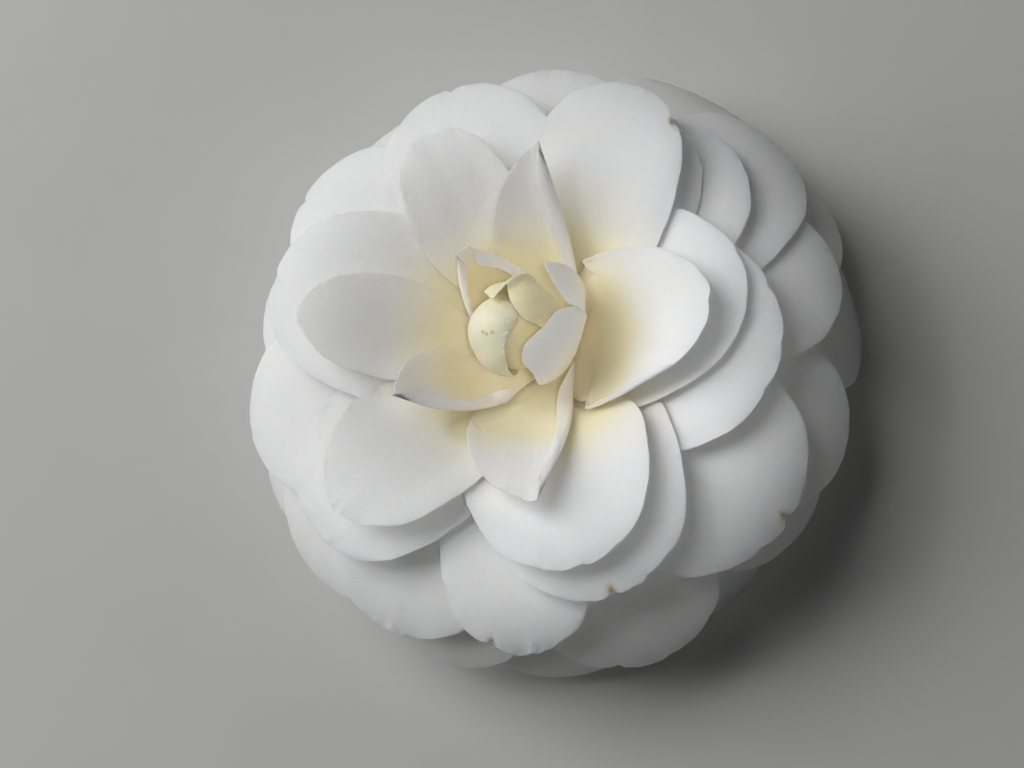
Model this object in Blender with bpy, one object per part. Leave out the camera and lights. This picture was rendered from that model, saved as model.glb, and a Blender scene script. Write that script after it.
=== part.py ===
"""Formal-double white camellia bloom, picked with a short stalk and lying face up on its guard petals.

Every petal is a thin closed solid shaped on a family of nested bowls, from the furled heart out to
the drooping guard petals.  Petals are laid from the heart outwards: each one is pushed out just
enough to clear those already laid, as petals do in a real bloom.  Design sizes are in millimetres;
Z is the axis of the flower, up through its face.
"""
import math
from dataclasses import dataclass

import bmesh
import bpy
import numpy as np

MM = 0.001
PETAL_THICKNESS = 0.42
PETAL_GAP = 0.52
CLAW_HALF_WIDTH = 2.3
FINE_ACROSS = 49
FINE_ALONG = 73
SPREAD_CELLS = 5
ROUNDNESS = 0.94

# Bowls the petals lie on.  Each row: bowl number, base radius, base height,
# slope in degrees at the base, half way and tip, length from base to tip.
BOWLS = (
    (0.10, 1.8, 16.9, 10, 78, 80, 30.5),
    (0.22, 2.6, 15.8, 26, 76, 22, 40.8),
    (0.35, 3.5, 14.5, 34, 67, -10, 47.0),
    (0.50, 4.3, 13.3, 37, 57, -28, 49.8),
    (0.65, 5.2, 11.8, 36, 50, -40, 51.2),
    (0.80, 6.0, 10.4, 32, 40, -50, 51.7),
    (0.92, 6.7, 9.2, 26, 28, -58, 50.5),
    (1.00, 7.2, 8.4, 20, 15, -66, 48.0),
)
BOWL_FIT = 4
BOWL_STEPS = np.linspace(0.06, 1.16, 111)
LENGTH_STEPS = np.linspace(0.0, 1.3, 131)
CEILING_ANGLES = 240
FLOOR_HEIGHT = 0.0
SHORTEST_REACH = 0.8
LONGEST_REACH = 1.25

HEART_CENTRE = (-2.6, 0.4, 30.2)
HEART_RADIUS = 6.6
HEART_HALF_HEIGHT = 9.6
HOOD_FOOT = -66.0
HOOD_NOTCH_WIDTH = 0.32

SEPAL_THICKNESS = 0.6
STALK_PROFILE = (
    (0.0, 0.5), (1.75, 0.5), (1.95, 0.8), (1.8, 2.2), (1.85, 3.6), (2.3, 4.7), (2.9, 5.5),
    (3.4, 6.6), (4.6, 7.6), (5.9, 8.2), (5.6, 9.4), (4.5, 11.4), (3.4, 13.2), (2.2, 15.2),
    (1.1, 16.6), (0.8, 17.6), (0.0, 18.0),
)
STALK_SIDES = 20

PETAL_WHITE = (0.86, 0.86, 0.83, 1.0)
INNER_CREAM = (0.87, 0.84, 0.74, 1.0)
HEART_CREAM = (0.84, 0.78, 0.60, 1.0)
SEPAL_GREEN = (0.20, 0.25, 0.10, 1.0)
STALK_BROWN = (0.21, 0.17, 0.09, 1.0)


@dataclass(frozen=True)
class Petal:
    """A petal on the bowls: lengths in mm, angles in degrees, reach as a share of the bowl."""

    name: str
    azimuth: float
    bowl: float
    reach: float
    half_width: float
    widest: float = 0.62
    point: float = 0.0
    notch: float = 0.0
    cup: float = 0.0
    tip_lift: float = 0.0
    tilt: float = 0.0
    swing: float = 0.0
    roll_minus: tuple = (0.0, 0.0)
    roll_plus: tuple = (0.0, 0.0)
    grid: tuple = (6, 8)
    rests: bool = False


@dataclass(frozen=True)
class Hood:
    """A hooded inner petal wrapped round the heart; angles in degrees, lifts in mm."""

    name: str
    azimuth: float
    lift: float
    over: float
    half_spread: float
    margin_flare: float = 0.0
    tip_flare: float = 0.0
    notch: float = 0.0
    shift: tuple = (0.0, 0.0)
    grid: tuple = (8, 9)


HOODS = (
    Hood("heart_hood_left", 200, 1.3, 76, 70, 0.2, 0.1, grid=(8, 8)),
    Hood("heart_hood_right", 52, 2.3, 74, 54, 0.3, 0.5, shift=(0.9, 1.0), grid=(8, 8)),
    Hood("heart_hood_outer", -8, 4.35, 66, 60, 0.8, 0.6, 12.0, shift=(2.2, 1.4), grid=(12, 9)),
)

PETALS = (
    Petal("inner_1", 127, 0.12, 0.71, 7.4, 0.66, 2.6, roll_plus=(2.0, 100), roll_minus=(2.2, 100), grid=(9, 8)),
    Petal("inner_2", 209, 0.15, 0.84, 7.8, 0.62, 2.8, cup=1.0, roll_plus=(2.6, 110), grid=(8, 8)),
    Petal("inner_3", 273, 0.19, 0.93, 11.0, 0.64, 2.4, cup=1.5, roll_plus=(2.8, 110), grid=(8, 9)),
    Petal("inner_4", 81, 0.21, 0.90, 8.2, 0.66, 2.4, cup=1.5, roll_minus=(2.8, 110), grid=(8, 9)),
    Petal("inner_5", 3, 0.24, 0.89, 14.2, 0.52, cup=2.4, grid=(8, 9)),
    Petal("row_a_1", 174, 0.28, 0.95, 8.9, 0.68, 0.8, grid=(7, 9)),
    Petal("row_a_2", 225, 0.30, 1.02, 12.4, 0.66, 1.0, grid=(7, 9)),
    Petal("row_a_3", 284, 0.32, 0.99, 16.6, 0.62, grid=(7, 9)),
    Petal("row_a_4", 114, 0.33, 0.92, 9.8, 0.66, notch=0.8, grid=(7, 9)),
    Petal("row_a_5", 63, 0.36, 1.05, 14.0, 0.64, grid=(7, 9)),
    Petal("row_a_6", 13, 0.40, 0.85, 17.5, 0.56, grid=(7, 9)),
    Petal("row_b_1", 165, 0.43, 0.97, 17.0, 0.62, notch=0.6, grid=(7, 9)),
    Petal("row_b_2", 290, 0.45, 0.98, 18.5, 0.60, grid=(7, 9)),
    Petal("row_b_3", 356, 0.47, 0.90, 21.0, 0.58, grid=(7, 9)),
    Petal("row_b_4", 107, 0.49, 0.98, 16.8, 0.62, grid=(7, 9)),
    Petal("row_b_5", 222, 0.50, 0.98, 16.5, 0.62, grid=(7, 9)),
    Petal("row_b_6", 58, 0.52, 0.91, 15.0, 0.64, grid=(7, 9)),
    Petal("row_b_7", 43, 0.55, 0.94, 15.0, 0.64, grid=(6, 8)),
    Petal("row_c_1", 268, 0.58, 1.04, 13.8, 0.64, grid=(6, 8)),
    Petal("row_c_2", 142, 0.60, 0.98, 16.5, 0.62, grid=(6, 8)),
    Petal("row_c_3", 322, 0.62, 1.03, 21.0, 0.60, grid=(7, 8)),
    Petal("row_c_4", 38, 0.65, 1.08, 16.5, 0.62, grid=(6, 8)),
    Petal("row_c_5", 195, 0.64, 0.99, 17.5, 0.62, grid=(6, 8)),
    Petal("row_c_6", 13, 0.70, 1.01, 15.5, 0.62, grid=(6, 8)),
    Petal("row_c_7", 85, 0.70, 0.96, 17.0, 0.62, grid=(6, 8)),
    Petal("row_c_8", 240, 0.72, 1.02, 17.0, 0.62, grid=(6, 8)),
    Petal("row_d_1", 222, 0.76, 1.02, 17.0, 0.62, grid=(6, 8)),
    Petal("row_d_2", 290, 0.78, 1.07, 17.5, 0.62, grid=(6, 8)),
    Petal("row_d_3", 166, 0.78, 0.93, 17.0, 0.62, grid=(6, 8)),
    Petal("row_d_4", 340, 0.80, 1.02, 17.0, 0.62, grid=(6, 8)),
    Petal("row_d_5", 122, 0.82, 0.95, 17.0, 0.62, grid=(6, 8)),
    Petal("row_d_6", 60, 0.83, 1.13, 16.5, 0.62, grid=(6, 8)),
    Petal("row_d_7", 29, 0.84, 1.10, 16.5, 0.62, grid=(6, 8)),
    Petal("row_d_8", 250, 0.86, 1.03, 16.0, 0.62, grid=(6, 8)),
    Petal("row_d_9", 204, 0.87, 1.0, 16.0, 0.62, grid=(6, 8)),
    Petal("guard_1", 326, 0.91, 0.98, 17.0, 0.62),
    Petal("guard_2", 182, 0.92, 0.95, 17.0, 0.62),
    Petal("guard_3", 272, 0.94, 1.03, 17.0, 0.62),
    Petal("guard_4", 10, 0.95, 1.03, 17.0, 0.62, rests=True),
    Petal("guard_5", 92, 0.97, 1.0, 17.0, 0.62, rests=True),
    Petal("guard_6", 47, 0.98, 1.0, 17.0, 0.62, rests=True),
    Petal("guard_7", 230, 0.99, 1.0, 17.0, 0.62, rests=True),
    Petal("guard_8", 305, 1.01, 1.0, 17.0, 0.62, rests=True),
    Petal("guard_9", 142, 1.02, 1.0, 16.5, 0.62, rests=True),
)

SEPAL_COUNT = 6


def running_sum(rows, step):
    """Trapezium-rule running integral along each row."""
    total = np.zeros_like(rows)
    total[:, 1:] = np.cumsum((rows[:, 1:] + rows[:, :-1]) * step / 2, axis=1)
    return total


def bowl_tables():
    """Radius, height, slope and length of every bowl, and the mm between bowls per unit number."""
    keys = np.array(BOWLS)
    fits = [np.polyval(np.polyfit(keys[:, 0], keys[:, i], BOWL_FIT), BOWL_STEPS)
            for i in range(1, keys.shape[1])]
    radius, height, start, middle, end, length = (column[:, None] for column in fits)
    t = LENGTH_STEPS
    slope = np.radians((1 - t) ** 2 * start + 2 * t * (1 - t) * middle + t * t * end)
    step = t[1] - t[0]
    r = radius + length * running_sum(np.cos(slope), step)
    z = height + length * running_sum(np.sin(slope), step)
    r_out = np.gradient(r, BOWL_STEPS, axis=0)
    z_out = np.gradient(z, BOWL_STEPS, axis=0)
    apart = r_out * np.sin(slope) - z_out * np.cos(slope)
    return {"r": r, "z": z, "slope": slope, "apart": np.maximum(apart, 4.0),
            "length": np.repeat(length, t.size, axis=1)}


TABLES = bowl_tables()


def look_up(name, bowl, share):
    """Bilinear value of a bowl table at a bowl number and a share of its length."""
    table = TABLES[name]
    i = (bowl - BOWL_STEPS[0]) / (BOWL_STEPS[1] - BOWL_STEPS[0])
    j = (share - LENGTH_STEPS[0]) / (LENGTH_STEPS[1] - LENGTH_STEPS[0])
    i = np.clip(i, 0, len(BOWL_STEPS) - 1.001)
    j = np.clip(j, 0, len(LENGTH_STEPS) - 1.001)
    i0 = i.astype(int)
    j0 = j.astype(int)
    fi = i - i0
    fj = j - j0
    low = table[i0, j0] * (1 - fj) + table[i0, j0 + 1] * fj
    high = table[i0 + 1, j0] * (1 - fj) + table[i0 + 1, j0 + 1] * fj
    return low * (1 - fi) + high * fi


def smooth(x):
    """Smooth 0-to-1 step."""
    x = np.clip(x, 0, 1)
    return x * x * (3 - 2 * x)


def round_off(a, b):
    """Narrowing of one grid direction by the other that rounds a square grid's end into a blade."""
    return a * np.sqrt(1 - (ROUNDNESS * b) ** 2 / 2)


def flat_outline(petal, u, v, length):
    """Petal blade laid flat: narrow claw, wide middle, rounded or pointed end; mm."""
    q = np.clip((v - petal.widest) / (1 - petal.widest), 0, 1)
    rise = smooth(v / petal.widest)
    half = CLAW_HALF_WIDTH + (petal.half_width - CLAW_HALF_WIDTH) * rise
    x = round_off(u, q) * half
    belly = petal.widest * length
    y = np.where(q > 0, belly + (length - belly) * round_off(q, u), v * length)
    y = y + petal.point * (1 - np.abs(u)) ** 2 * q ** 3
    y = y - petal.notch * np.exp(-(u / 0.2) ** 2) * q ** 4
    return x, y, round_off(half, q)


def curl(x, edge, width, turn, along):
    """Roll the strip next to a margin inwards: new x and the lift off the blade."""
    if width <= 0:
        return x, np.zeros_like(x)
    bend = np.radians(turn) / width * smooth((along - 0.15) / 0.4) + 1e-6
    start = edge - width
    s = np.maximum(x - start, 0)
    rolled = np.where(x > start, start + np.sin(bend * s) / bend, x)
    return rolled, (1 - np.cos(bend * s)) / bend


def wide_maximum(grid, cells):
    """Largest value within a square of cells round each entry."""
    for axis in (0, 1):
        pad = [(0, 0), (0, 0)]
        pad[axis] = (cells, cells)
        padded = np.pad(grid, pad, mode="edge")
        size = grid.shape[axis]
        slices = [np.take(padded, range(k, k + size), axis=axis) for k in range(2 * cells + 1)]
        grid = np.maximum.reduce(slices)
    return grid


def wide_mean(grid, cells):
    """Mean value within a square of cells round each entry."""
    for axis in (0, 1):
        pad = [(0, 0), (0, 0)]
        pad[axis] = (cells, cells)
        padded = np.pad(grid, pad, mode="edge")
        size = grid.shape[axis]
        slices = [np.take(padded, range(k, k + size), axis=axis) for k in range(2 * cells + 1)]
        grid = sum(slices) / len(slices)
    return grid


class Ceiling:
    """Outermost bowl number reached so far at each bearing and share of the length."""

    def __init__(self):
        self.cells = np.full((CEILING_ANGLES, len(LENGTH_STEPS)), -1.0)

    def index(self, bearing, share):
        i = np.round(bearing / (2 * math.pi) * CEILING_ANGLES).astype(int) % CEILING_ANGLES
        step = LENGTH_STEPS[1] - LENGTH_STEPS[0]
        j = np.clip(np.round(share / step).astype(int), 0, len(LENGTH_STEPS) - 1)
        return i, j

    def lay(self, bearing, share, bowl):
        """Record a petal's outer face, one cell wider all round."""
        i, j = self.index(bearing, share)
        last = len(LENGTH_STEPS) - 1
        for di in (-1, 0, 1):
            for dj in (-1, 0, 1):
                spot = ((i + di) % CEILING_ANGLES, np.clip(j + dj, 0, last))
                np.maximum.at(self.cells, spot, bowl)

    def read(self, bearing, share):
        return self.cells[self.index(bearing, share)]


def drape(petal, reach, ceiling):
    """Bearing, share, bowl and lift of one petal's fine grid, clear of every petal laid before it."""
    u, v = np.meshgrid(np.linspace(-1, 1, FINE_ACROSS), np.linspace(0, 1, FINE_ALONG), indexing="ij")
    length = reach * look_up("length", np.array(petal.bowl), np.array(0.0))
    x, y, edge = flat_outline(petal, u, v, length)
    x, lift_plus = curl(x, edge, *petal.roll_plus, v)
    mirrored, lift_minus = curl(-x, edge, *petal.roll_minus, v)
    x = -mirrored
    lift = lift_minus + lift_plus
    wanted = -petal.cup * (x / petal.half_width) ** 2 * smooth(v / 0.7)
    wanted = wanted + petal.tip_lift * v ** 3 + petal.tilt * u * smooth(v)
    own_bowl = np.full_like(u, petal.bowl)
    share = y / look_up("length", own_bowl, np.zeros_like(u))
    own_bowl = petal.bowl + wanted / look_up("apart", own_bowl, share)
    bowl = own_bowl
    centre = math.radians(petal.azimuth)
    for _ in range(4):
        radius = look_up("r", bowl, share)
        bearing = centre + math.radians(petal.swing) * v * v + x / np.maximum(radius, 1.5)
        clear = PETAL_GAP + PETAL_THICKNESS / 2 + lift
        floor = ceiling.read(bearing, share) + clear / look_up("apart", bowl, share)
        short = np.maximum(floor - own_bowl, 0)
        bowl = own_bowl + wide_mean(wide_maximum(short, SPREAD_CELLS), SPREAD_CELLS)
    return bearing, share, bowl, lift


def petal_sheet(petal, reach, ceiling):
    """Where the petal lies, and the thinned mid-surface and normals of its solid."""
    place = drape(petal, reach, ceiling)
    points = bowl_point(*place)
    return place, thin_out(points, petal.grid), thin_out(face_normals(points), petal.grid)


def resting_reach(petal, ceiling):
    """Reach at which a drooping petal's tip just meets the floor."""
    short, far = SHORTEST_REACH, LONGEST_REACH
    for _ in range(30):
        reach = (short + far) / 2
        _, points, normals = petal_sheet(petal, reach, ceiling)
        lowest = (points[..., 2] - np.abs(normals[..., 2]) * PETAL_THICKNESS / 2).min()
        short, far = (reach, far) if lowest > FLOOR_HEIGHT else (short, reach)
    return reach


def bowl_point(bearing, share, bowl, lift):
    """Points in mm for places on the bowls, raised off them towards the axis by the lift."""
    slope = look_up("slope", bowl, share)
    r = look_up("r", bowl, share) - lift * np.sin(slope)
    z = look_up("z", bowl, share) + lift * np.cos(slope)
    return np.stack([r * np.cos(bearing), r * np.sin(bearing), z], axis=-1)


def face_normals(points):
    """Unit normals of a gridded surface."""
    along_u = np.gradient(points, axis=0)
    along_v = np.gradient(points, axis=1)
    normal = np.cross(along_u, along_v)
    return normal / np.linalg.norm(normal, axis=-1, keepdims=True)


def thin_out(points, grid):
    """Keep an evenly spread sub-grid of the fine surface."""
    across, along = grid
    rows = np.round(np.linspace(0, points.shape[0] - 1, across + 1)).astype(int)
    columns = np.round(np.linspace(0, points.shape[1] - 1, along + 1)).astype(int)
    return points[np.ix_(rows, columns)]


def sheet_solid(name, points, normals, thickness, material):
    """Closed thin solid from a gridded mid-surface."""
    shape = points.shape[:2]
    offset = normals * thickness / 2
    top = (points + offset).reshape(-1, 3)
    bottom = (points - offset).reshape(-1, 3)
    count = len(top)
    index = np.arange(count).reshape(shape)
    faces = []
    for i in range(shape[0] - 1):
        for j in range(shape[1] - 1):
            a, b, c, d = index[i, j], index[i + 1, j], index[i + 1, j + 1], index[i, j + 1]
            faces += [(a, b, c), (a, c, d), (count + a, count + c, count + b),
                      (count + a, count + d, count + c)]
    ring = list(index[:, 0]) + list(index[-1, 1:]) + list(index[-2::-1, -1]) + list(index[0, -2:0:-1])
    for k, a in enumerate(ring):
        b = ring[(k + 1) % len(ring)]
        faces += [(a, count + a, count + b), (a, count + b, b)]
    return add_object(name, np.vstack([top, bottom]), faces, material)


def add_object(name, points, faces, material):
    """Mesh object in metres with outward faces and one material."""
    mesh = bpy.data.meshes.new(name)
    mesh.from_pydata([tuple(float(c) * MM for c in p) for p in points], [],
                     [tuple(int(i) for i in face) for face in faces])
    work = bmesh.new()
    work.from_mesh(mesh)
    bmesh.ops.recalc_face_normals(work, faces=work.faces)
    if work.calc_volume(signed=True) < 0:
        bmesh.ops.reverse_faces(work, faces=work.faces)
    work.to_mesh(mesh)
    work.free()
    mesh.materials.append(material)
    thing = bpy.data.objects.new(name, mesh)
    bpy.context.scene.collection.objects.link(thing)
    return thing


def make_material(name, colour, roughness):
    """Plain Principled material."""
    material = bpy.data.materials.new(name)
    material.use_nodes = True
    shader = material.node_tree.nodes["Principled BSDF"]
    shader.inputs["Base Color"].default_value = colour
    shader.inputs["Roughness"].default_value = roughness
    return material


def add_petal(petal, ceiling, colour):
    """Lay one petal and build its solid."""
    reach = resting_reach(petal, ceiling) if petal.rests else petal.reach
    (bearing, share, bowl, _), points, normals = petal_sheet(petal, reach, ceiling)
    ceiling.lay(bearing, share, bowl + PETAL_THICKNESS / 2 / look_up("apart", bowl, share))
    material = make_material(petal.name, colour, 0.5)
    return sheet_solid(petal.name, points, normals, PETAL_THICKNESS, material)


def heart_point(lift, out):
    """Point on the heart's egg shape, lifted off it, for unit directions."""
    size = np.array([HEART_RADIUS, HEART_RADIUS, HEART_HALF_HEIGHT]) + lift[..., None]
    return np.array(HEART_CENTRE) + out * size


def hood_surface(hood):
    """Fine mid-surface of a hooded petal."""
    u, v = np.meshgrid(np.linspace(-1, 1, FINE_ACROSS), np.linspace(0, 1, FINE_ALONG), indexing="ij")
    q = np.clip((v - 0.6) / 0.4, 0, 1)
    rise = 0.3 + 0.7 * smooth(v / 0.6)
    spread = np.radians(hood.half_spread) * round_off(u, q) * rise
    along = np.where(q > 0, 0.6 + 0.4 * round_off(q, u), v)
    end = HOOD_FOOT + (hood.over - HOOD_FOOT) * along
    climb = np.radians(end - hood.notch * np.exp(-(u / HOOD_NOTCH_WIDTH) ** 2) * q ** 4)
    centre = math.radians(hood.azimuth)
    up = np.stack([np.cos(climb) * np.cos(centre), np.cos(climb) * np.sin(centre), np.sin(climb)], -1)
    side = np.stack([-np.sin(centre) * np.ones_like(u), np.cos(centre) * np.ones_like(u),
                     np.zeros_like(u)], -1)
    out = up * np.cos(spread)[..., None] + side * np.sin(spread)[..., None]
    lift = hood.lift * (0.3 + 0.7 * smooth(v / 0.5))
    lift = lift + hood.margin_flare * np.abs(u) ** 3 * smooth(v) + hood.tip_flare * v ** 4
    aside = np.array([*hood.shift, 0.0]) * smooth(v / 0.5)[..., None]
    return heart_point(lift, out) + aside


def add_hood(hood, colour):
    """Build one hooded petal."""
    points = hood_surface(hood)
    material = make_material(hood.name, colour, 0.5)
    return sheet_solid(hood.name, thin_out(points, hood.grid), thin_out(face_normals(points), hood.grid),
                       PETAL_THICKNESS, material)


def add_heart():
    """Closed egg of furled innermost petals."""
    around = np.radians(np.arange(0, 360, 20))
    climb = np.radians(np.linspace(HOOD_FOOT, 74, 9))
    a, c = np.meshgrid(around, climb, indexing="ij")
    out = np.stack([np.cos(c) * np.cos(a), np.cos(c) * np.sin(a), np.sin(c)], -1)
    points = heart_point(np.zeros_like(a), out)
    ends = heart_point(np.zeros(2), np.array([[0, 0, -1.0], [0, 0, 1.0]]))
    ends[0, 2] += 0.6
    return lathe_like("heart", points, ends, make_material("heart", HEART_CREAM, 0.5))


def lathe_like(name, points, ends, material):
    """Closed solid from rings of points and two end points."""
    around, rings = points.shape[:2]
    index = np.arange(around * rings).reshape(around, rings)
    low, high = around * rings, around * rings + 1
    faces = []
    for i in range(around):
        n = (i + 1) % around
        faces.append((low, index[n, 0], index[i, 0]))
        faces.append((high, index[i, -1], index[n, -1]))
        for j in range(rings - 1):
            faces.append((index[i, j], index[n, j], index[n, j + 1]))
            faces.append((index[i, j], index[n, j + 1], index[i, j + 1]))
    return add_object(name, np.vstack([points.reshape(-1, 3), ends]), faces, material)


def add_stalk():
    """Cut stalk end swelling into the cone the petals grow from."""
    profile = np.array(STALK_PROFILE)
    angles = np.linspace(0, 2 * math.pi, STALK_SIDES, endpoint=False)
    ring = profile[1:-1]
    a = angles[:, None]
    points = np.stack([ring[None, :, 0] * np.cos(a), ring[None, :, 0] * np.sin(a),
                       np.repeat(ring[None, :, 1], STALK_SIDES, axis=0)], -1)
    ends = np.array([[0, 0, profile[0, 1]], [0, 0, profile[-1, 1]]])
    return lathe_like("stalk", points, ends, make_material("stalk", STALK_BROWN, 0.7))


def sepal_surface(number):
    """Cupped green sepal pressed to the underside of the guard petals."""
    u, v = np.meshgrid(np.linspace(-1, 1, 25), np.linspace(0, 1, 25), indexing="ij")
    outer = number % 2
    length = 10.5 - 1.5 * outer
    widest = 0.5
    q = np.clip((v - widest) / (1 - widest), 0, 1)
    half = round_off(1.5 + (4.1 - 0.8 * outer) * smooth(v / widest), q)
    y = np.where(q > 0, widest + (1 - widest) * round_off(q, u), v) * length
    radius = 3.55 + y * 0.96
    height = 5.5 - 1.0 * outer + 0.16 * y + 0.012 * y * y
    bearing = math.radians(60 * number + 12) + u * half / radius
    return np.stack([radius * np.cos(bearing), radius * np.sin(bearing), height], -1)


def add_sepal(number):
    """Build one sepal."""
    name = f"sepal_{number + 1}"
    points = sepal_surface(number)
    return sheet_solid(name, thin_out(points, (6, 6)), thin_out(face_normals(points), (6, 6)),
                       SEPAL_THICKNESS, make_material(name, SEPAL_GREEN, 0.6))


def centre_on_origin(things):
    """Move the bloom so its box stands centred on the origin with its lowest point at zero."""
    corners = np.array([vertex.co[:] for thing in things for vertex in thing.data.vertices])
    middle = (corners.max(axis=0) + corners.min(axis=0)) / 2
    shift = np.array([-middle[0], -middle[1], -corners[:, 2].min()])
    for thing in things:
        for vertex in thing.data.vertices:
            vertex.co = [float(c) for c in np.array(vertex.co[:]) + shift]


def build():
    """The whole bloom, heart first."""
    for thing in list(bpy.data.objects):
        bpy.data.objects.remove(thing)
    ceiling = Ceiling()
    things = [add_heart()]
    things += [add_hood(hood, HEART_CREAM) for hood in HOODS]
    for petal in PETALS:
        colour = INNER_CREAM if petal.name.startswith("inner") else PETAL_WHITE
        things.append(add_petal(petal, ceiling, colour))
    things += [add_sepal(number) for number in range(SEPAL_COUNT)]
    things.append(add_stalk())
    centre_on_origin(things)


build()
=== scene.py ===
"""Looks of the white formal-double camellia bloom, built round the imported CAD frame.

Every petal is laid on the same nested bowls as its CAD solid, from the heart outwards, with a fine
grid, a thin tapering margin, waves, nicks and folded strips.  Design sizes are in millimetres with
the flower's axis as Z; the finished pieces are moved onto the CAD stalk's axis and scaled to metres.
"""

import math
from dataclasses import dataclass

import bpy
import numpy as np
from mathutils import Matrix, Vector


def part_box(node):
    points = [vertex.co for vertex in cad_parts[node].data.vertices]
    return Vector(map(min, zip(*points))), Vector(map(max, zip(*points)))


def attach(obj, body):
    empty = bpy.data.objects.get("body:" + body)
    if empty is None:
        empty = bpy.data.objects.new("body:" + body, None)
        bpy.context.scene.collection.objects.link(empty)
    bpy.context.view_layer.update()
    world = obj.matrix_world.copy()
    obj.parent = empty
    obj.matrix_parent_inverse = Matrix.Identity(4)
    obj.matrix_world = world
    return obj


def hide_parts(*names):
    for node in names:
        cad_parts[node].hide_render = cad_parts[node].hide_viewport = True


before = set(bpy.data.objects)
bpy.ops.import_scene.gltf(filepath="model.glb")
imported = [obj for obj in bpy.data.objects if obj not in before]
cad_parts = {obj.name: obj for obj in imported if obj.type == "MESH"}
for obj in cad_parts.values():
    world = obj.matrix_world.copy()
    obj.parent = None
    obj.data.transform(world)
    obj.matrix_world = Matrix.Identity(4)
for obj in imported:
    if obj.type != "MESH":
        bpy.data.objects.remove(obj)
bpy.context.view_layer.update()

# Metres in a design unit, the body that all pieces ride, and how many mm the stalk's cut end stands above
# the design's floor.
MM = 0.001
BODY = "root"
STALK_FOOT = 0.5

# Bowls the petals lie on: number, base radius, base height, slope in degrees at base, middle and tip,
# and length from base to tip.
BOWLS = (
    (0.10, 1.8, 16.9, 10, 78, 80, 30.5),
    (0.22, 2.6, 15.8, 26, 76, 22, 40.8),
    (0.35, 3.5, 14.5, 34, 67, -10, 47.0),
    (0.50, 4.3, 13.3, 37, 57, -28, 49.8),
    (0.65, 5.2, 11.8, 36, 50, -40, 51.2),
    (0.80, 6.0, 10.4, 32, 40, -50, 51.7),
    (0.92, 6.7, 9.2, 26, 28, -58, 50.5),
    (1.00, 7.2, 8.4, 20, 15, -66, 48.0),
)
# Degree of the curves fitted through the bowls, the bowl numbers and shares of length that they are
# tabulated at, the least mm between bowls per bowl number, and how many cells a look-up stays short of
# a table's length.
BOWL_FIT = 4
BOWL_STEPS = np.linspace(0.06, 1.16, 111)
LENGTH_STEPS = np.linspace(0.0, 1.3, 131)
LEAST_APART = 4.0
TABLE_END = 1.001

# Grid of a blade, how round its ends are, its thicknesses in mm, and the least angle of a sharp edge.
ACROSS = 61
ALONG = 85
ROUNDNESS = 0.94
MIDDLE_THICKNESS = 0.40
MARGIN_THICKNESS = 0.13
CLAW_THICKNESS = 0.55
SHARP_ANGLE = math.radians(62)

# Laying the petals over one another: cells round the ceiling and cells that a lift spreads over, passes,
# the least radius, the gap and the room for each petal in mm, and the reaches tried for the petals that
# rest on the floor.
CEILING_ANGLES = 240
SPREAD_CELLS = 3
DRAPE_PASSES = 4
LEAST_RADIUS = 1.5
PETAL_GAP = 0.52
PETAL_ROOM = 0.42
SHORTEST_REACH = 0.8
LONGEST_REACH = 1.25
REACH_HALVINGS = 16

# Unevenness of a blade: heights in mm, and cycles per half turn of margin or over the blade.  Down the
# whole length of a side, the place round the margin goes on by the side's degrees.
WAVE = 0.22
WAVE_CYCLES = (1.6, 3.4, 7.1, 13.3)
RUFFLE = 0.12
RUFFLE_CYCLES = (1.3, 2.9, 5.3)
CRINKLE_CYCLES = (7.3, 11.9, 17.3)
DENT = 0.14
DENT_CYCLES = (0.7, 1.3, 2.1)
CYCLE_RANGE = (0.85, 1.15)
SIDE_DEGREES = 100

# How closely each effect keeps to the margin, as a power of the nearness to it.
WAVE_HUG = 4
NICK_HUG = 8
RUFFLE_HUG = 3
CRINKLE_HUG = 12
THIN_HUG = 5

# Nearness to the margin where the stain of a tear sets in, and over how much nearness it grows.
STAIN_RISE = (0.88, 0.1)

# Where along a blade each effect sets in, and over how much of the length it grows to full size.
CUP_RISE = (0.3, 0.6)
RUFFLE_RISE = (0.4, 0.3)
CRINKLE_RISE = (0.5, 0.2)
DENT_RISE = (0.0, 0.5)
THIN_RISE = (0.0, 0.3)
CLAW_RISE = (0.0, 0.5)
FOLD_TURN_LENGTH = 0.3
FOLD_EASE_LENGTH = 0.2

# Folded strips: radius of the fold and least width in mm, how many times as wide as its curl a strip
# stays, and how white a strip turns over how many mm of lift.
FOLD_RADIUS = 0.55
LEAST_STRIP = 0.1
TIGHT_CURL = 1.4
FOLD_WHITENESS = 0.9
FOLD_STEP = 0.8

# Heart and the hoods round it, in mm.  Foot and waist are climbs in degrees, with the waist at a share of
# the way up the hood; a speck's size is in degrees.
HEART_CENTRE = (-2.6, 1.1, 30.2)
HEART_HALF_SIZES = (6.6, 5.4, 9.6)
HEART_RINGS = 48
HEART_SIDES = 96
HOOD_FOOT = -66.0
HOOD_WAIST = -5.0
HOOD_WAIST_SHARE = 0.3
HOOD_FOOT_LIFT = 0.3
HOOD_THICKNESS = 0.34
HOOD_ACROSS = 91
HOOD_ALONG = 61
HOOD_WAVE = 0.1
HOOD_WAVE_CYCLES = (3.3, 6.1, 9.7)
HOOD_SIDE_HUG = 4
HOOD_WAVE_HUG = 6
HOOD_THIN_HUG = 8
HOOD_CREAM_RISE = (0.3, 0.4)
SPECK_SIZE = 2.0
CURVE_STEPS = 12

# Seeds of the ripples.
PETAL_SEEDS = 10
HOOD_SEED = 500
STALK_SEED = 71

# Small values that keep a division by zero away.
TINY = 1e-6
LEAST_TURN = 1e-4


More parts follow.
